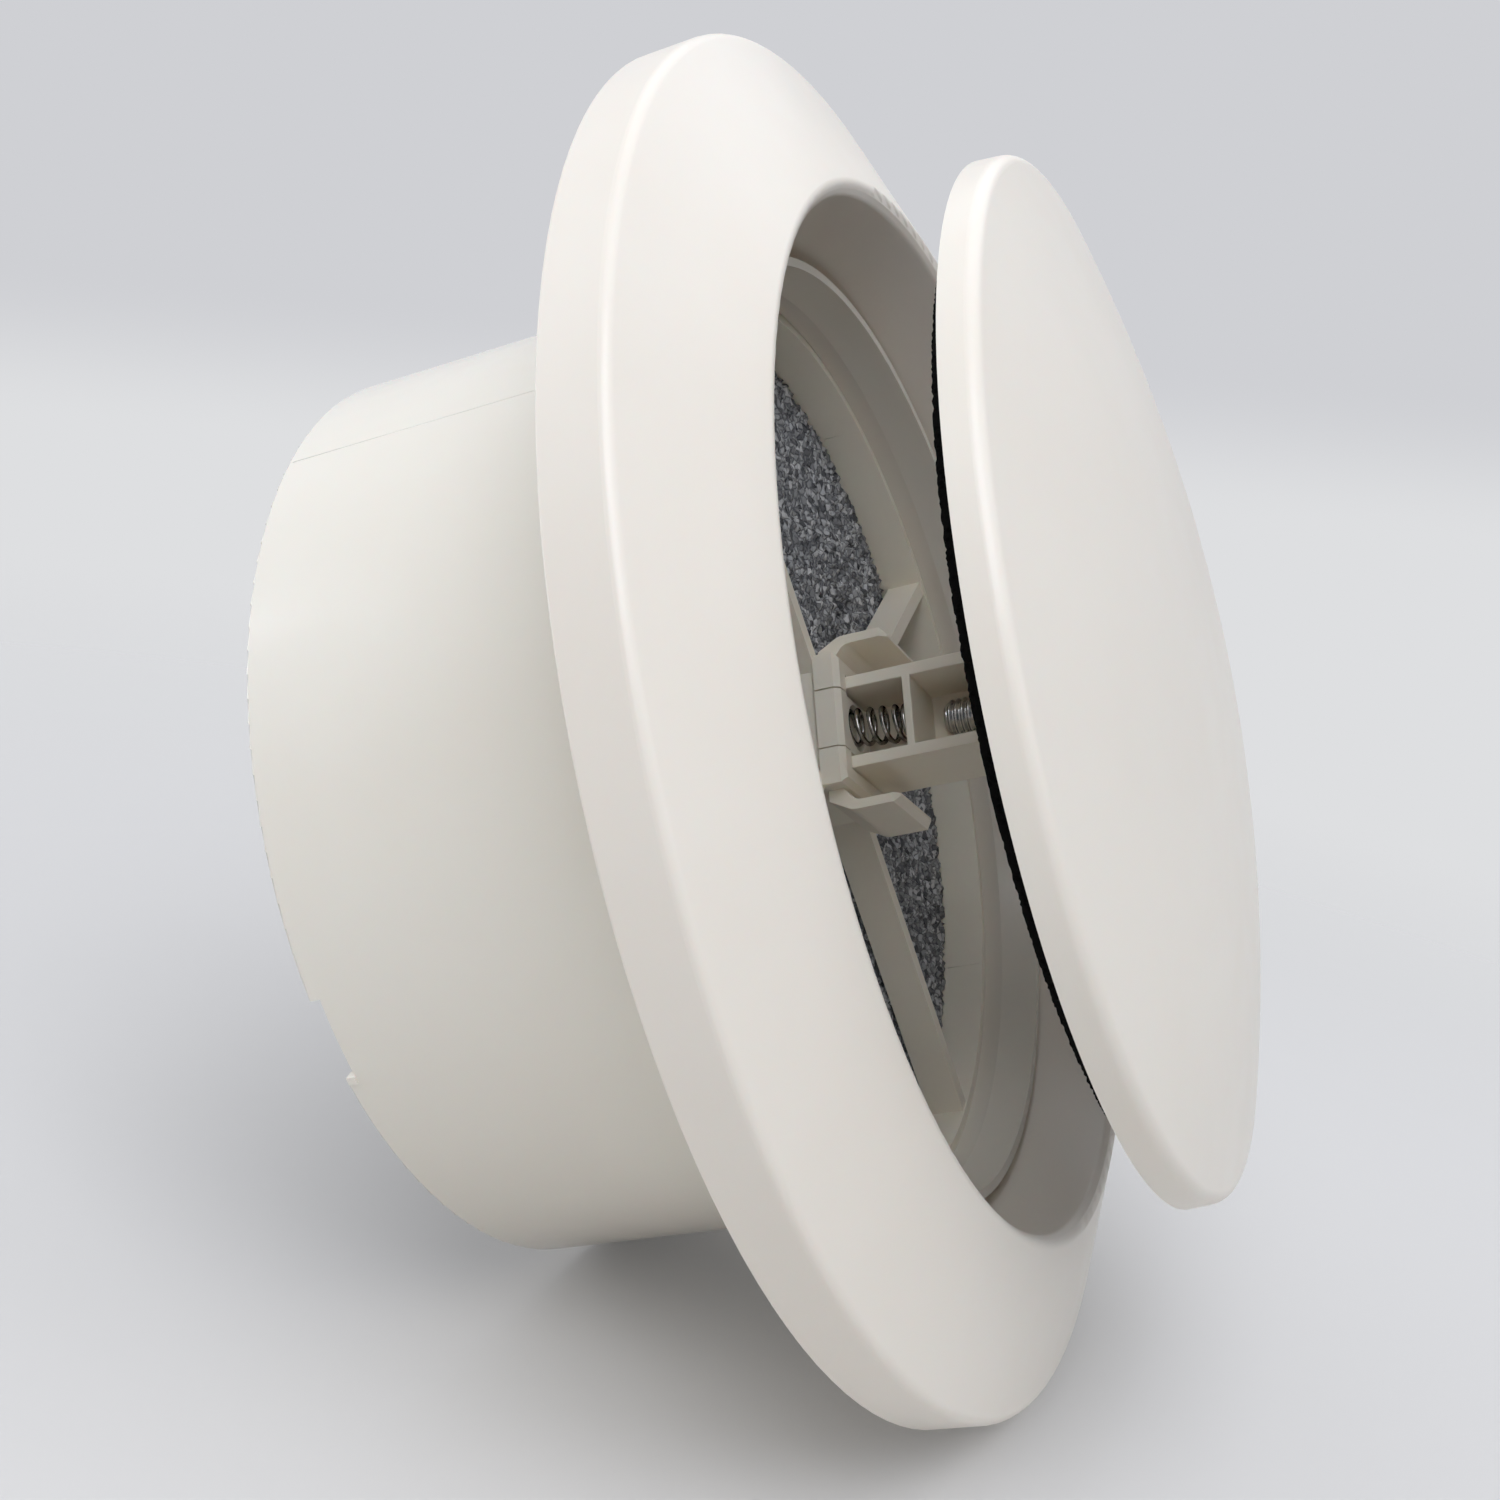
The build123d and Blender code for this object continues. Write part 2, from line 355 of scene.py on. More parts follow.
class Finish:
    """Base of the finishes: one material with a Principled shader."""

    name: str = "finish"

    def __init__(self, effects: Effects) -> None:
        """Builds the material.

        Args:
            effects: Shared node groups.
        """
        self.effects = effects
        self.material = bpy.data.materials.new(self.name)
        self.material.use_nodes = True
        self.nodes = Nodes(self.material.node_tree)
        self.shader = self.material.node_tree.nodes["Principled BSDF"]
        self.fill()

    def fill(self) -> None:
        """Fills the node tree; each finish has its own."""

    def bump(self, height: bpy.types.NodeSocket, distance: float, strength: float = 1.0) -> None:
        """Turns a height into the shader's normal.

        Args:
            height: Height socket.
            distance: Depth of a full step of height.
            strength: Share of the effect.
        """
        node = self.nodes.add("ShaderNodeBump", Distance=distance, Strength=strength)
        self.nodes.link(height, node.inputs["Height"])
        self.nodes.link(node.outputs["Normal"], self.shader.inputs["Normal"])

    def set(self, **values: object) -> None:
        """Sets constant values on the shader's sockets, named with underscores for spaces."""
        for key, value in values.items():
            self.shader.inputs[key.replace("_", " ")].default_value = value

    def feed(self, **sockets: bpy.types.NodeSocket) -> None:
        """Links sockets to the shader's inputs, named with underscores for spaces."""
        for key, socket in sockets.items():
            self.nodes.link(socket, self.shader.inputs[key.replace("_", " ")])

    def use(self, tree: bpy.types.NodeTree, **values: object) -> Sockets:
        """Places a shared group.

        Args:
            tree: The node group.
            **values: Input values, named with underscores for spaces.

        Returns:
            The group's outputs by name.
        """
        node = self.nodes.add("ShaderNodeGroup", node_tree=tree)
        for key, value in values.items():
            node.inputs[key.replace("_", " ")].default_value = value
        return {socket.name: socket for socket in node.outputs}


class MouldedPlastic(Finish):
    """Base of the plastic finishes, with the skin of a moulding."""

    colour: Colour = linear(235, 230, 220)
    shade: Colour = linear(230, 225, 215)
    gloss: float = 0.3
    grain: float = 2600.0
    grain_depth: float = 0.004 * MM
    index: float = 1.5
    glow: float = 0.08
    glow_depth: float = 2.0 * MM

    def fill(self) -> None:
        """Fills the node tree."""
        skin = self.use(
            self.effects.moulding,
            Colour=(*self.colour, 1.0),
            Shade=(*self.shade, 1.0),
            Roughness=self.gloss,
            Grain_size=self.grain,
        )
        self.feed(Base_Color=self.dusted(skin["Colour"]), Roughness=skin["Roughness"])
        self.bump(skin["Height"], self.grain_depth)
        self.set(IOR=self.index, Subsurface_Weight=self.glow, Subsurface_Scale=self.glow_depth)

    def dusted(self, colour: bpy.types.NodeSocket) -> bpy.types.NodeSocket:
        """Colour with the dust on it; a plain moulding has none."""
        return colour


class IvoryPlastic(MouldedPlastic):
    """Satin ivory moulding of the flange and disc."""

    name: str = "ivory_plastic"
    colour: Colour = linear(238, 231, 219)
    shade: Colour = linear(235, 227, 214)
    speck: Colour = linear(120, 116, 110)
    speck_cells: float = 55.0
    speck_share: float = 0.012
    speck_radius: float = 0.016

    def dusted(self, colour: bpy.types.NodeSocket) -> bpy.types.NodeSocket:
        """Adds a few dust specks.

        Args:
            colour: Colour socket of the clean skin.

        Returns:
            The colour socket with the specks.
        """
        dust = self.use(
            self.effects.specks,
            Cells=self.speck_cells,
            Share=self.speck_share,
            Radius=self.speck_radius,
        )
        return self.nodes.mix(dust["Mask"], colour, self.speck)


class CollarPlastic(IvoryPlastic):
    """Slightly greyer and glossier ivory moulding of the duct collar."""

    name: str = "collar_plastic"
    colour: Colour = linear(236, 231, 219)
    shade: Colour = linear(233, 227, 214)
    gloss: float = 0.18


class NaturalPlastic(MouldedPlastic):
    """Greyish uncoloured moulding of the spider and stem."""

    name: str = "natural_plastic"
    colour: Colour = linear(251, 243, 227)
    shade: Colour = linear(247, 238, 219)
    gloss: float = 0.45
    grain: float = 3200.0
    grain_depth: float = 0.006 * MM
    glow: float = 0.12
    glow_depth: float = 1.5 * MM


class FilterFoam(Finish):
    """Open-cell filter foam flecked in blue grey, with painted shade in the crevices between its flakes."""

    name: str = "filter_foam"
    dark_and_crevice_shade: Colour = linear(92, 94, 98)
    middle: Colour = linear(217, 219, 222)
    light: Colour = linear(246, 246, 247)
    cells: float = 1150.0
    warp_scale: float = 700.0
    warp: float = 0.9 * MM
    fleck_span: Range = (0.72, 0.95)
    fleck_share: Range = (0.0, 0.75)
    crevice_shade_span: Range = (0.0, 0.16)
    crevice_shade_tone: Range = (0.4, 1.0)
    pit: float = 0.4 * MM
    pit_share: float = 0.8

    def fill(self) -> None:
        """Fills the node tree."""
        nodes = self.nodes
        warp = nodes.add("ShaderNodeTexNoise", Scale=self.warp_scale, Detail=2.0)
        bend = nodes.add("ShaderNodeVectorMath", operation="MULTIPLY_ADD")
        nodes.link(warp.outputs["Color"], bend.inputs[0])
        bend.inputs[1].default_value = (self.warp, self.warp, self.warp)
        nodes.link(nodes.place(warp), bend.inputs[2])
        edges = nodes.add("ShaderNodeTexVoronoi", feature="DISTANCE_TO_EDGE", Scale=self.cells)
        flakes = nodes.add("ShaderNodeTexVoronoi", feature="F1", Scale=self.cells)
        for node in (edges, flakes):
            nodes.link(bend.outputs["Vector"], node.inputs["Vector"])
        pick = nodes.add("ShaderNodeSeparateColor")
        nodes.link(flakes.outputs["Color"], pick.inputs["Color"])
        flake = nodes.mix(pick.outputs["Red"], self.dark_and_crevice_shade, self.middle)
        fleck = nodes.span(pick.outputs["Green"], self.fleck_span, self.fleck_share)
        # Painted shade: the crevices between the flakes, where the bump sinks, are mixed towards the dark
        # colour.
        inside = nodes.span(edges.outputs["Distance"], self.crevice_shade_span, self.crevice_shade_tone)
        self.feed(Base_Color=nodes.mix(inside, self.dark_and_crevice_shade, nodes.mix(fleck, flake, self.light)))
        self.bump(inside, self.pit, self.pit_share)
        self.set(Roughness=0.85, IOR=1.45)


class SealFoam(Finish):
    """Black cut foam of the seal ring, with painted shade in its pores."""

    name: str = "seal_foam"
    colour: Colour = linear(12, 12, 12)
    pore_shade: Colour = linear(3, 3, 3)
    cells: float = 1500.0
    pore_shade_span: Range = (0.15, 0.5)
    pit: float = 0.2 * MM
    pit_share: float = 0.6

    def fill(self) -> None:
        """Fills the node tree."""
        nodes = self.nodes
        pores = nodes.add("ShaderNodeTexVoronoi", feature="F1", Scale=self.cells)
        nodes.place(pores)
        # Painted shade: the pores are darker than the rest of the foam.
        pore_shade_and_bump = nodes.span(pores.outputs["Distance"], self.pore_shade_span, (1.0, 0.0))
        self.feed(Base_Color=nodes.mix(pore_shade_and_bump, self.colour, self.pore_shade))
        self.bump(pore_shade_and_bump, self.pit, self.pit_share)
        self.set(Roughness=0.9, IOR=1.4, Specular_IOR_Level=0.1)


class Steel(Finish):
    """Base of the metal finishes, with a tone of their own at glancing angles."""

    colour: Colour = linear(190, 190, 188)
    shade: Colour = linear(150, 150, 150)
    edge: Colour = linear(120, 120, 118)
    gloss: float = 0.2
    scratch_depth: float = 0.002 * MM

    def fill(self) -> None:
        """Fills the node tree."""
        skin = self.use(
            self.effects.drawing,
            Colour=(*self.colour, 1.0),
            Shade=(*self.shade, 1.0),
            Roughness=self.gloss,
        )
        self.feed(Base_Color=skin["Colour"], Roughness=skin["Roughness"])
        self.bump(skin["Height"], self.scratch_depth)
        self.set(Metallic=1.0, Specular_Tint=(*self.edge, 1.0))


class SpringSteel(Steel):
    """Bright drawn spring wire."""

    name: str = "spring_steel"
    colour: Colour = linear(205, 203, 199)
    shade: Colour = linear(134, 132, 128)
    edge: Colour = linear(40, 39, 37)
    gloss: float = 0.05


class ZincSteel(Steel):
    """Zinc-plated screw and nut."""

    name: str = "zinc_steel"
    colour: Colour = linear(247, 247, 247)
    shade: Colour = linear(214, 215, 217)
    edge: Colour = linear(110, 110, 108)
    gloss: float = 0.1


def mesh_piece(
    name: str, body: Body, build: bmesh.types.BMesh, finish: Finish
) -> bpy.types.Object:
    """Turns a finished bmesh into a piece of the vent.

    Args:
        name: Piece name.
        body: Moving group it rides on.
        build: The mesh, which is freed.
        finish: Its finish.

    Returns:
        The new object.
    """
    bmesh.ops.recalc_face_normals(build, faces=build.faces[:])
    mesh = bpy.data.meshes.new(name)
    build.to_mesh(mesh)
    build.free()
    mesh.polygons.foreach_set("use_smooth", [True] * len(mesh.polygons))
    mesh.materials.append(finish.material)
    piece = bpy.data.objects.new(name, mesh)
    bpy.context.scene.collection.objects.link(piece)
    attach(piece, body.value)
    LOG.info("piece %s: %d faces", name, len(mesh.polygons))
    return piece


def dress_node(node: str, finish: Finish) -> bpy.types.Object:
    """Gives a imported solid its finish.

    Args:
        node: Node name.
        finish: Its finish.

    Returns:
        The solid's object.
    """
    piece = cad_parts[node]
    piece.data.materials.clear()
    piece.data.materials.append(finish.material)
    LOG.info("solid %s: %s", node, finish.name)
    return piece


def soften(piece: bpy.types.Object, width: float) -> None:
    """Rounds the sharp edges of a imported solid.

    Args:
        piece: The solid's object.
        width: Width of the rounding.
    """
    weld = piece.modifiers.new("weld", "WELD")
    weld.merge_threshold = WELD_GAP
    bevel = piece.modifiers.new("edge_round", "BEVEL")
    bevel.width = width
    bevel.segments = EDGE_STEPS
    bevel.limit_method = "ANGLE"
    bevel.angle_limit = EDGE_ANGLE
    bevel.harden_normals = True


def bridge(build: bmesh.types.BMesh, rings: list[Ring]) -> None:
    """Joins rings of points with faces, each ring to the next one.

    Args:
        build: Mesh to add to.
        rings: Rings with equally many points.
    """
    for first, second in zip(rings, rings[1:]):
        for step in range(len(first)):
            after = (step + 1) % len(first)
            build.faces.new((first[step], first[after], second[after], second[step]))


def cap(build: bmesh.types.BMesh, rings: list[Ring]) -> None:
    """Closes the first and the last ring."""
    build.faces.new(rings[0])
    build.faces.new(rings[-1])


def tube(build: bmesh.types.BMesh, points: list[Vector], radius: float, sides: int) -> None:
    """Adds a closed tube along a line of points.

    Args:
        build: Mesh to add to.
        points: Points of the tube's middle line.
        radius: Radius of the tube.
        sides: Sides of the tube.
    """
    rings: list[Ring] = []
    across = Vector((0, 0, 0))
    for index, point in enumerate(points):
        along = (points[min(index + 1, len(points) - 1)] - points[max(index - 1, 0)]).normalized()
        if index == 0:
            across = along.orthogonal().normalized()
        across = (across - along * across.dot(along)).normalized()
        side = along.cross(across)
        ring = []
        for step in range(sides):
            angle = 2 * math.pi * step / sides
            reach = math.cos(angle) * across + math.sin(angle) * side
            ring.append(build.verts.new(point + radius * reach))
        rings.append(ring)
    bridge(build, rings)
    cap(build, rings)


def ridge(
    angle: float, radius: float, front: float, rear: float, width: float, height: float
) -> bmesh.types.BMesh:
    """Builds a fine straight ridge along a round wall, as a mould's parting line leaves it.

    Args:
        angle: Angle about the vent's axis, from +X towards +Z.
        radius: Radius of the wall.
        front: Start along the axis.
        rear: End along the axis.
        width: Width at the foot, three times that of the crest.
        height: Height over the wall; a negative one points to the axis.

    Returns:
        The ridge's mesh.
    """
    out = Vector((math.cos(angle), 0, math.sin(angle)))
    side = Vector((-math.sin(angle), 0, math.cos(angle)))
    half, crest = width / 2, width / 6
    foot = -math.copysign(half, height)
    section = [(-half, foot), (half, foot), (crest, height), (-crest, height)]
    build = bmesh.new()
    ends = []
    for along in (front, rear):
        middle = out * radius + Vector((0, along, 0))
        ends.append([build.verts.new(middle + side * across + out * rise) for across, rise in section])
    bridge(build, ends)
    cap(build, ends)
    return build


@dataclass
class Housing:
    """Flange and duct collar."""

    seam_angle: float = math.radians(129)
    seam_count: int = 2
    seam_width: float = 0.2 * MM
    seam_height: float = 0.03 * MM
    seam_margin: float = 0.8 * MM
    spigot_r: float = 50.0 * MM

    def dress(self, ivory: Finish, glossy: Finish) -> None:
        """Gives both solids their finishes and adds the collar's mould seams.

        Args:
            ivory: Finish of the flange.
            glossy: Finish of the collar.
        """
        dress_node("flange", ivory)
        dress_node("collar", glossy)
        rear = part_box("collar")[1].y - self.seam_margin
        for index in range(self.seam_count):
            angle = self.seam_angle + index * 2 * math.pi / self.seam_count
            line = ridge(angle, self.spigot_r, self.seam_margin, rear, self.seam_width, self.seam_height)
            mesh_piece(f"collar_seam_{index + 1}", Body.BASE, line, glossy)


@dataclass
class Insert:
    """Spider and foam filter inside the collar."""

    edge_round: float = 0.15 * MM
    ring_wall: float = 1.0 * MM
    mark_count: int = 4
    mark_angle: float = math.radians(50)
    mark_length: float = 4.3 * MM
    mark_width: float = 0.3 * MM
    mark_height: float = 0.05 * MM
    grid: int = 170
    cell: float = 1.0 * MM
    pit: float = 1.1 * MM
    warp: float = 0.45 * MM
    warp_span: float = 1.6 * MM
    strand_slope: float = 2.2
    rough_span: float = 0.45 * MM
    rough_share: float = 0.3

    def dress(self, natural: Finish, foam: Finish) -> None:
        """Gives the spider its finish and remodels the foam.

        Args:
            natural: Finish of the spider.
            foam: Finish of the filter.
        """
        soften(dress_node("spider", natural), self.edge_round)
        low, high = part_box("spider")
        radius = (high.x - low.x) / 2 - self.ring_wall
        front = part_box("foam_filter")[0].y - self.mark_length
        for index in range(self.mark_count):
            angle = self.mark_angle + index * 2 * math.pi / self.mark_count
            line = ridge(angle, radius, front, front + self.mark_length, self.mark_width, -self.mark_height)
            mesh_piece(f"ring_mark_{index + 1}", Body.BASE, line, natural)
        pad = mesh_piece("filter_pad", Body.BASE, self.pad(), foam)
        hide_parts("foam_filter")

    def depth(self, place: Vector) -> float:
        """Depth of the open cells at one point of the foam's face.

        Args:
            place: Point on the face.

        Returns:
            How far the surface lies inside the solid.
        """
        shaken = place + noise.noise_vector(place / self.warp_span) * self.warp
        near = noise.voronoi(shaken / self.cell)[0]
        strand = min(1.0, (near[1] - near[0]) * self.strand_slope)
        rough = 0.5 + 0.5 * noise.noise(place / self.rough_span)
        return self.pit * ((1 - self.rough_share) * strand + self.rough_share * rough)

    def pad(self) -> bmesh.types.BMesh:
        """Builds the foam disc with open cells on both faces.

        Returns:
            The foam's mesh.
        """
        low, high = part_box("foam_filter")
        radius = (high.x - low.x) / 2
        build = bmesh.new()
        rims = []
        steps = range(self.grid + 1)
        for face_y, inward in ((low.y, 1.0), (high.y, -1.0)):
            rows = [[self.spot(build, i, j, radius, face_y, inward) for i in steps] for j in steps]
            for first, second in zip(rows, rows[1:]):
                for step in range(self.grid):
                    build.faces.new((first[step], first[step + 1], second[step + 1], second[step]))
            right = [row[-1] for row in rows[:-1]]
            left = [row[0] for row in rows[:0:-1]]
            rims.append(rows[0][:-1] + right + rows[-1][:0:-1] + left)
        bridge(build, rims)
        return build

    def spot(
        self, build: bmesh.types.BMesh, i: int, j: int, radius: float, face_y: float, inward: float
    ) -> bmesh.types.BMVert:
        """Adds one point of the foam's face: a square grid laid evenly onto a round disc.

        Args:
            build: Mesh to add to.
            i: Step across.
            j: Step up.
            radius: Radius of the disc.
            face_y: Place of the face along the axis.
            inward: Direction into the foam along the axis.

        Returns:
            The new point.
        """
        a, b = 2 * i / self.grid - 1, 2 * j / self.grid - 1
        if abs(a) > abs(b):
            reach, angle = a, math.pi / 4 * b / a
        elif b:
            reach, angle = b, math.pi / 2 - math.pi / 4 * a / b
        else:
            reach, angle = 0.0, 0.0
        place = Vector((radius * reach * math.cos(angle), face_y, radius * reach * math.sin(angle)))
        place.y += inward * self.depth(place)
        return build.verts.new(place)


@dataclass
class Stem:
    """Sprung stem with its spring and nut."""

    edge_round: float = 0.15 * MM
    wire_r: float = 0.27 * MM
    wire_sides: int = 14
    coil_r: float = 1.85 * MM
    open_turns: float = 4.1
    closed_turns: float = 0.8
    closed_pitch: float = 0.567 * MM
    lean_rear: float = 0.15 * MM
    lean_front: float = -0.6 * MM
    roll: float = math.radians(22)
    turn_steps: int = 40

    def dress(self, natural: Finish, zinc: Finish, wire: Finish) -> None:
        """Gives the stem and nut their finishes and remodels the spring.

        Args:
            natural: Finish of the stem.
            zinc: Finish of the nut.
            wire: Finish of the spring.
        """
        soften(dress_node("stem", natural), self.edge_round)
        soften(dress_node("nut", zinc), self.edge_round)
        low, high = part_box("spring")
        coil = mesh_piece("spring_coil", Body.BASE, self.spring(low, high), wire)
        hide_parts("spring")
        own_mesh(coil)

    def spring(self, low: Vector, high: Vector) -> bmesh.types.BMesh:
        """Builds the compression spring with closed end coils, leaning a little in its pocket.

        Args:
            low: Low corner of the spring solid's box.
            high: High corner of the spring solid's box.

        Returns:
            The spring's mesh.
        """
        middle = (low + high) / 2
        up = Vector((math.sin(self.roll), 0, math.cos(self.roll)))
        length = high.y - low.y - 2 * self.wire_r
        closed_rise = self.closed_pitch * self.closed_turns
        open_rise = length - 2 * closed_rise
        turns = self.open_turns + 2 * self.closed_turns
        count = int(turns * self.turn_steps)
        points = []
        for step in range(count + 1):
            turn = turns * step / count
            if turn < self.closed_turns:
                rise = closed_rise * turn / self.closed_turns
            elif turn > turns - self.closed_turns:
                rise = length - closed_rise * (turns - turn) / self.closed_turns
            else:
                rise = closed_rise + open_rise * (turn - self.closed_turns) / self.open_turns
            lean = self.lean_rear + (self.lean_front - self.lean_rear) * rise / length
            angle = 2 * math.pi * turn
            place = Vector((middle.x, high.y - self.wire_r - rise, middle.z)) + up * lean
            points.append(place + self.coil_r * Vector((math.cos(angle), 0, math.sin(angle))))
        build = bmesh.new()
        tube(build, points, self.wire_r, self.wire_sides)
        return build


@dataclass
class Disc:
    """Domed disc with its back plate, seal and screw."""

    seal_width: float = 8.4 * MM
    seal_round: float = 0.25 * MM
    seal_steps: int = 1200
    jag: float = 0.24 * MM
    jag_span: float = 0.7 * MM
    jag_shift: float = 7.0
    face_jag: float = 0.2
    thread_r: float = 2.0 * MM
    thread_root_r: float = 1.6 * MM
    thread_pitch: float = 0.7 * MM
    thread_len: float = 11.6 * MM
    pitch_rows: int = 14
    crest: float = 1.25
    flank_slope: float = 1.5
    run_out: float = 0.07
    tip_r: float = 1.35 * MM
    head_r: float = 3.5 * MM
    head_h: float = 2.4 * MM
    head_edge: float = 0.25 * MM
    screw_sides: int = 48

    def dress(self, ivory: Finish, seal: Finish, zinc: Finish) -> None:
        """Gives the disc its finishes and remodels the seal and the screw.

        Args:
            ivory: Finish of the disc.
            seal: Finish of the seal ring.
            zinc: Finish of the screw.
        """
        dress_node("disc_front", ivory)
        dress_node("disc_back", ivory)
        ring = mesh_piece("seal_foam_ring", Body.DISC, self.seal(), seal)
        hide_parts("seal_ring")
        screw = mesh_piece("threaded_screw", Body.SCREW, self.screw(), zinc)
        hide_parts("screw")

    def seal(self) -> bmesh.types.BMesh:
        """Builds the seal ring, whose punched edges are slightly ragged.

        Returns:
            The ring's mesh.
        """
        low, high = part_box("seal_ring")
        outer = (high.x - low.x) / 2
        inner = outer - self.seal_width
        middle = (outer + inner) / 2
        cut = self.seal_round
        section = [
            (inner, low.y, 0.0),
            (outer, low.y, 0.0),
            (outer, high.y - cut, 1.0),
            (outer - cut, high.y, 1.0),
            (middle, high.y, self.face_jag),
            (inner + cut, high.y, 1.0),
            (inner, high.y - cut, 1.0),
        ]
        build = bmesh.new()
        rings = []
        for step in range(self.seal_steps):
            angle = 2 * math.pi * step / self.seal_steps
            way = Vector((math.cos(angle), 0, math.sin(angle)))
            ring = []
            for index, (radius, along, ragged) in enumerate(section):
                seed = way * radius / self.jag_span + Vector((0, self.jag_shift * index, 0))
                jag = self.jag * ragged * abs(noise.noise(seed))
                towards = -1.0 if radius > middle else 1.0
                ring.append(build.verts.new(way * (radius + towards * jag) + Vector((0, along - jag, 0))))
            rings.append(ring)
        bridge(build, rings + rings[:1])
        return build

    def screw(self) -> bmesh.types.BMesh:
        """Builds the screw with a real helical thread, a chamfered tip and a cylinder head.

        Returns:
            The screw's mesh.
        """
        low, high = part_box("screw")
        tip, head = high.y, low.y
        under, edge = head + self.head_h, self.head_edge
        angles = [2 * math.pi * side / self.screw_sides for side in range(self.screw_sides)]
        steps = int(self.thread_len / (self.thread_pitch / self.pitch_rows))
        rows = []
        for step in range(steps + 1):
            share = step / steps
            radii = [self.thread_radius(share, angle) for angle in angles]
            rows.append((tip - self.thread_len * share, radii))
        for along, radius in (
            (under + edge, self.thread_r),
            (under, self.thread_r + edge),
            (under, self.head_r - edge),
            (under - edge, self.head_r),
            (head + edge, self.head_r),
            (head, self.head_r - edge),
        ):
            rows.append((along, [radius] * self.screw_sides))
        build = bmesh.new()
        rings = []
        for along, radii in rows:
            ring = []
            for angle, reach in zip(angles, radii):
                ring.append(build.verts.new((reach * math.cos(angle), along, reach * math.sin(angle))))
            rings.append(ring)
        bridge(build, rings)
        cap(build, rings)
        return build

    def thread_radius(self, share: float, angle: float) -> float:
        """Radius of the thread at one point of it.

        Args:
            share: Place along the thread, 0 at the tip and 1 at the neck.
            angle: Angle about the screw's axis.

        Returns:
            The radius there.
        """
        along = share * self.thread_len
        neck = max(0.0, (share - (1 - self.run_out)) / self.run_out)
        phase = (along / self.thread_pitch + angle / (2 * math.pi)) % 1.0
        rise = min(1.0, max(0.0, self.crest - abs(2 * phase - 1) * self.flank_slope))
        reach = self.thread_root_r + (self.thread_r - self.thread_root_r) * max(rise, neck)
        return min(reach, self.tip_r + along)


@dataclass(frozen=True)
class Lamp:
    """Square soft lamp that faces the vent."""

    name: str
    place: Place
    size: float
    power: float

    def build(self, colour: Colour) -> None:
        """Adds the lamp.

        Args:
            colour: Colour of its light.
        """
        data = bpy.data.lights.new(self.name, "AREA")
        data.size = self.size
        data.energy = self.power
        data.color = colour
        lamp = bpy.data.objects.new(self.name, data)
        lamp.location = self.place
        lamp.rotation_euler = (-Vector(self.place)).to_track_quat("-Z", "Y").to_euler()
        bpy.context.scene.collection.objects.link(lamp)


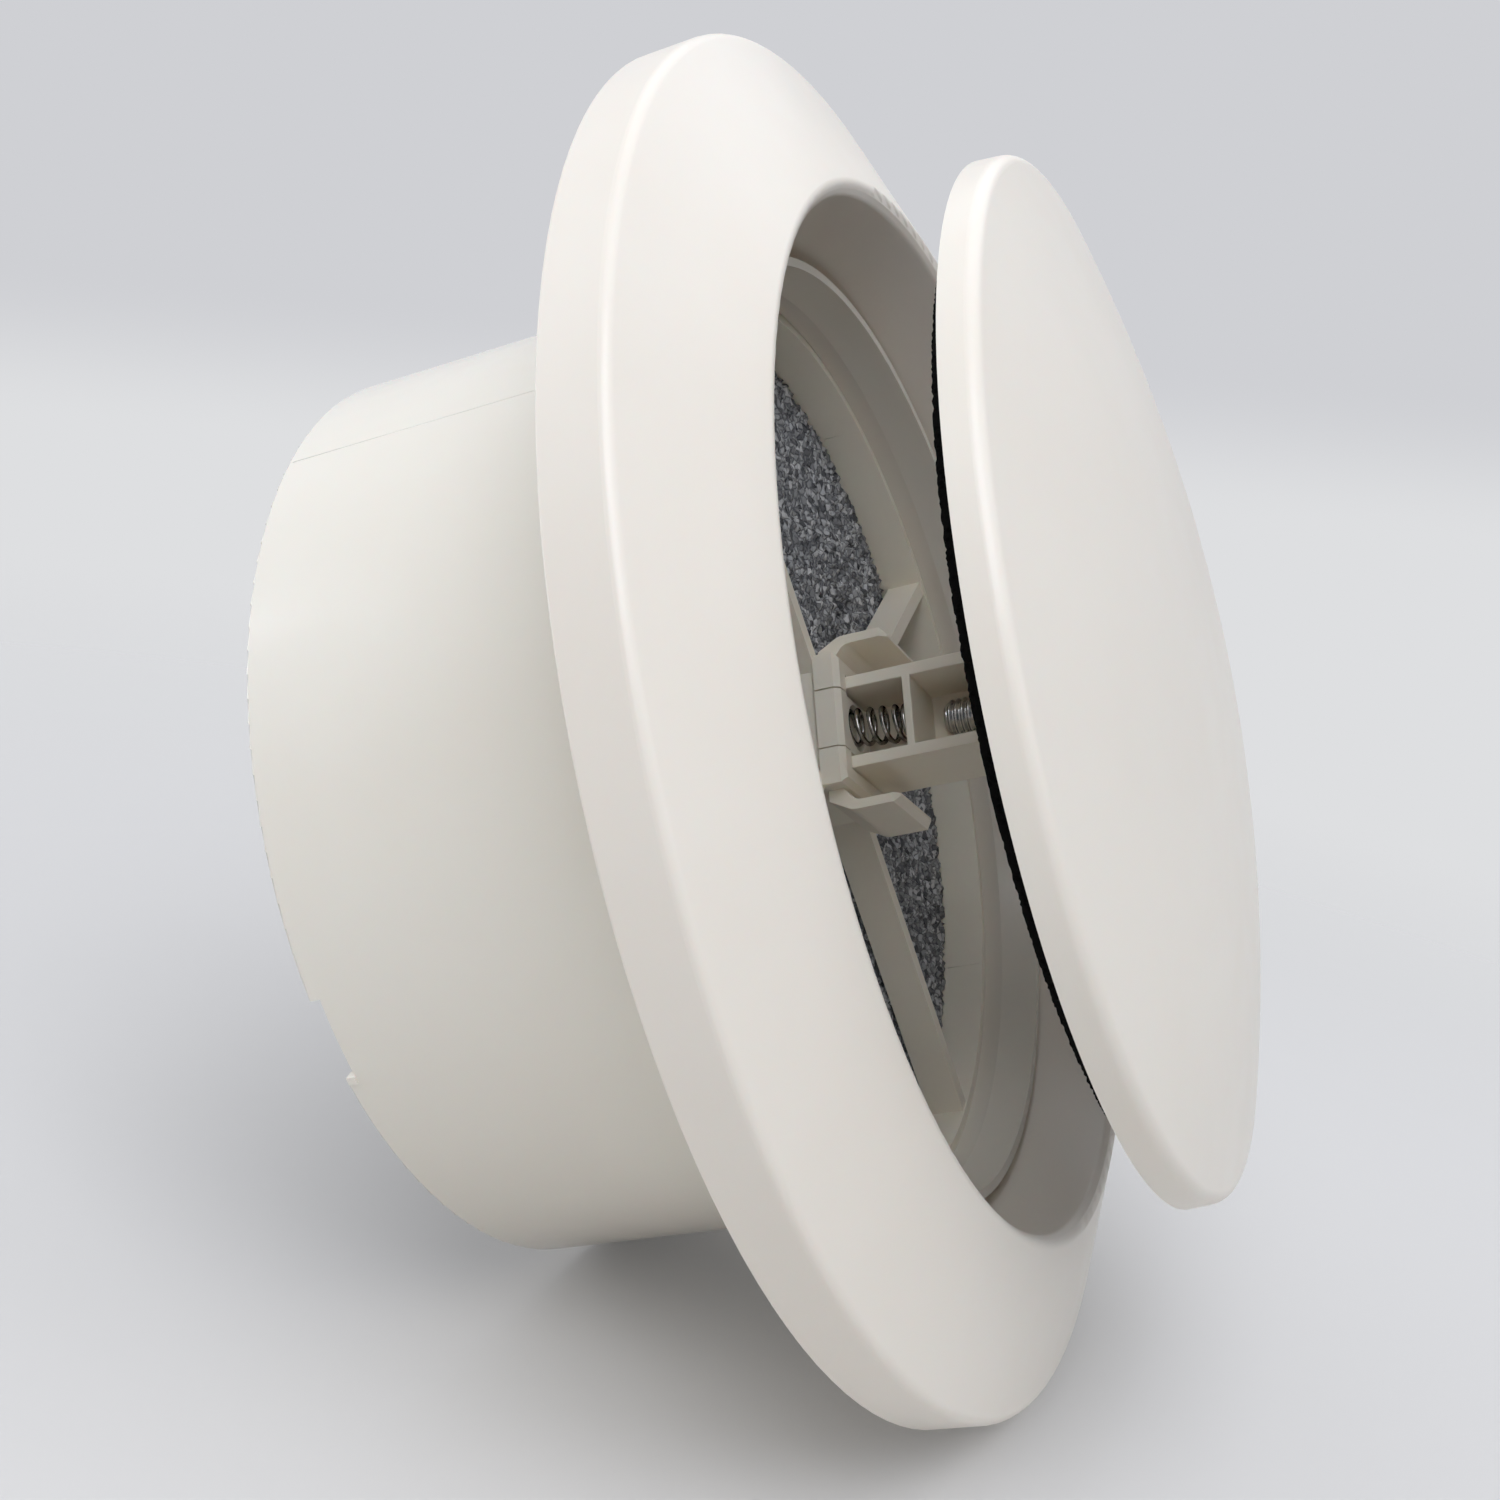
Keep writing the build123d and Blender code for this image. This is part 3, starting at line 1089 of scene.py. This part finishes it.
@dataclass
class Studio:
    """Pale floor and backdrop, soft lamps and the camera."""

    floor_lean: float = math.radians(26.8)
    floor_roll: float = math.radians(-3)
    floor_drop: float = 64.5 * MM
    floor_half: float = 1.5
    floor_fade: Range = (0.10, 0.42)
    # Share of the backdrop seen through the floor: painted light that lightens the floor's shadow.
    floor_shadow_lift: float = 0.1
    floor_tone: Colour = linear(210, 208, 205)
    floor_shade: Colour = linear(207, 205, 202)
    floor_grain: float = 6.0
    floor_gloss: float = 0.6
    backdrop: Colour = linear(222, 223, 225)
    backdrop_high: Colour = linear(207, 208, 212)
    backdrop_up: Place = (-0.052, -0.327, 0.944)
    backdrop_turn: Range = (-0.03, 0.04)
    light_colour: Colour = (0.9, 0.93, 1.0)
    sky_span: Range = (0.0, 0.8)
    sky: Range = (0.0, 0.81)
    lamps: tuple[Lamp, ...] = (
        Lamp("key", (-0.60, -0.54, 0.60), 0.8, 6.8),
        Lamp("side", (-0.15, 0.85, 0.45), 0.8, 4.3),
        Lamp("front", (-0.15, -0.95, 0.25), 0.8, 1.4),
        Lamp("back", (0.50, -0.30, 0.80), 0.8, 1.2),
        Lamp("fill", (-0.90, -0.36, 0.14), 0.3, 0.33),
    )
    camera_at: Place = (-0.209801, -0.066269, 0.000201)
    camera_right: Place = (0.355282, -0.911596, -0.206804)
    camera_up: Place = (0.11811, -0.175685, 0.977335)
    sensor_mm: float = 36.0
    lens_mm: float = 48.82
    shift: Range = (0.01233, 0.07196)
    near_clip: float = 1.0 * MM

    def build(self) -> None:
        """Builds floor, world, lamps and camera."""
        self._floor()
        self._world()
        for lamp in self.lamps:
            lamp.build(self.light_colour)
        self._camera()
        bpy.context.scene.view_settings.view_transform = "Standard"

    def _floor(self) -> None:
        """Adds the floor that the vent lies on: it touches the flange's rim and the end of the spigot.

        It fades into the backdrop away from the vent, and does not show from below. Its shadow is lightened
        by painted light: a share of the plain backdrop shows through it.
        """
        mesh = bpy.data.meshes.new("floor")
        half = self.floor_half
        corners = [(-half, -half, 0), (half, -half, 0), (half, half, 0), (-half, half, 0)]
        mesh.from_pydata(corners, [], [(0, 1, 2, 3)])
        mesh.materials.append(self._floor_material())
        floor = bpy.data.objects.new("floor", mesh)
        turn = Matrix.Rotation(self.floor_roll, 4, "Y") @ Matrix.Rotation(self.floor_lean, 4, "X")
        floor.matrix_world = turn @ Matrix.Translation((0, 0, -self.floor_drop))
        bpy.context.scene.collection.objects.link(floor)

    def _floor_material(self) -> bpy.types.Material:
        """Builds the floor's material.

        Returns:
            The material.
        """
        material = bpy.data.materials.new("floor")
        material.use_nodes = True
        nodes = Nodes(material.node_tree)
        shader = material.node_tree.nodes["Principled BSDF"]
        shader.inputs["Roughness"].default_value = self.floor_gloss
        grain = nodes.add("ShaderNodeTexNoise", Scale=self.floor_grain)
        place = nodes.place(grain)
        tone = nodes.mix(grain.outputs["Fac"], self.floor_tone, self.floor_shade)
        nodes.link(tone, shader.inputs["Base Color"])
        far = nodes.add("ShaderNodeVectorMath", operation="LENGTH")
        nodes.link(place, far.inputs[0])
        fade = nodes.span(far.outputs["Value"], self.floor_fade)
        below = nodes.add("ShaderNodeNewGeometry").outputs["Backfacing"]
        # Painted light: camera and mirror rays see a share of the plain backdrop through the lit floor,
        # which lightens its shadow; from below the floor is fully clear.
        shadow_lift = nodes.math("MAXIMUM", below, self.floor_shadow_lift)
        clear = nodes.math("MULTIPLY", self._seen(nodes), shadow_lift)
        blend = nodes.add("ShaderNodeMixShader")
        nodes.link(nodes.math("MAXIMUM", fade, clear), blend.inputs[0])
        nodes.link(shader.outputs[0], blend.inputs[1])
        nodes.link(nodes.add("ShaderNodeBsdfTransparent").outputs[0], blend.inputs[2])
        nodes.link(blend.outputs[0], material.node_tree.nodes["Material Output"].inputs["Surface"])
        return material

    def _world(self) -> None:
        """Sets the world: soft light from above, and two plain tones for what looks straight at it."""
        world = bpy.data.worlds.new("studio")
        bpy.context.scene.world = world
        world.use_nodes = True
        nodes = Nodes(world.node_tree)
        light = world.node_tree.nodes["Background"]
        light.inputs["Color"].default_value = (*self.light_colour, 1.0)
        plain = nodes.add("ShaderNodeBackground")
        upward = nodes.add("ShaderNodeVectorMath", operation="DOT_PRODUCT")
        nodes.link(nodes.add("ShaderNodeTexCoord").outputs["Generated"], upward.inputs[0])
        upward.inputs[1].default_value = self.backdrop_up
        rise = upward.outputs["Value"]
        nodes.link(nodes.span(rise, self.sky_span, self.sky), light.inputs["Strength"])
        share = nodes.span(rise, self.backdrop_turn)
        nodes.link(nodes.mix(share, self.backdrop, self.backdrop_high), plain.inputs["Color"])
        blend = nodes.add("ShaderNodeMixShader")
        nodes.link(self._seen(nodes), blend.inputs[0])
        nodes.link(light.outputs[0], blend.inputs[1])
        nodes.link(plain.outputs[0], blend.inputs[2])
        nodes.link(blend.outputs[0], world.node_tree.nodes["World Output"].inputs["Surface"])

    @staticmethod
    def _seen(nodes: Nodes) -> bpy.types.NodeSocket:
        """Adds the mask of rays that look straight at a surface, also by way of a mirror or glass.

        Args:
            nodes: Tree to add to.

        Returns:
            The mask socket.
        """
        ray = nodes.add("ShaderNodeLightPath").outputs
        straight = nodes.math("MAXIMUM", ray["Is Camera Ray"], ray["Is Glossy Ray"])
        return nodes.math("MAXIMUM", straight, ray["Is Transmission Ray"])

    def _camera(self) -> None:
        """Adds the camera at the photograph's viewing angle."""
        data = bpy.data.cameras.new("camera")
        data.sensor_width = self.sensor_mm
        data.lens = self.lens_mm
        data.shift_x, data.shift_y = self.shift
        data.clip_start = self.near_clip
        camera = bpy.data.objects.new("camera", data)
        right, up = Vector(self.camera_right), Vector(self.camera_up)
        back = right.cross(up)
        turn = Matrix((right, up, back)).transposed().to_4x4()
        camera.matrix_world = Matrix.Translation(self.camera_at) @ turn
        bpy.context.scene.collection.objects.link(camera)
        bpy.context.scene.camera = camera


def main() -> None:
    """Builds the finishes, the sub-assemblies in order, and the studio."""
    logging.basicConfig(level=logging.INFO)
    noise.seed_set(NOISE_SEED)
    effects = Effects()
    ivory, glossy = IvoryPlastic(effects), CollarPlastic(effects)
    natural = NaturalPlastic(effects)
    foam, seal = FilterFoam(effects), SealFoam(effects)
    wire, zinc = SpringSteel(effects), ZincSteel(effects)
    Housing().dress(ivory, glossy)
    Insert().dress(natural, foam)
    Stem().dress(natural, zinc, wire)
    Disc().dress(ivory, seal, zinc)
    Studio().build()


if __name__ == "__main__":
    main()
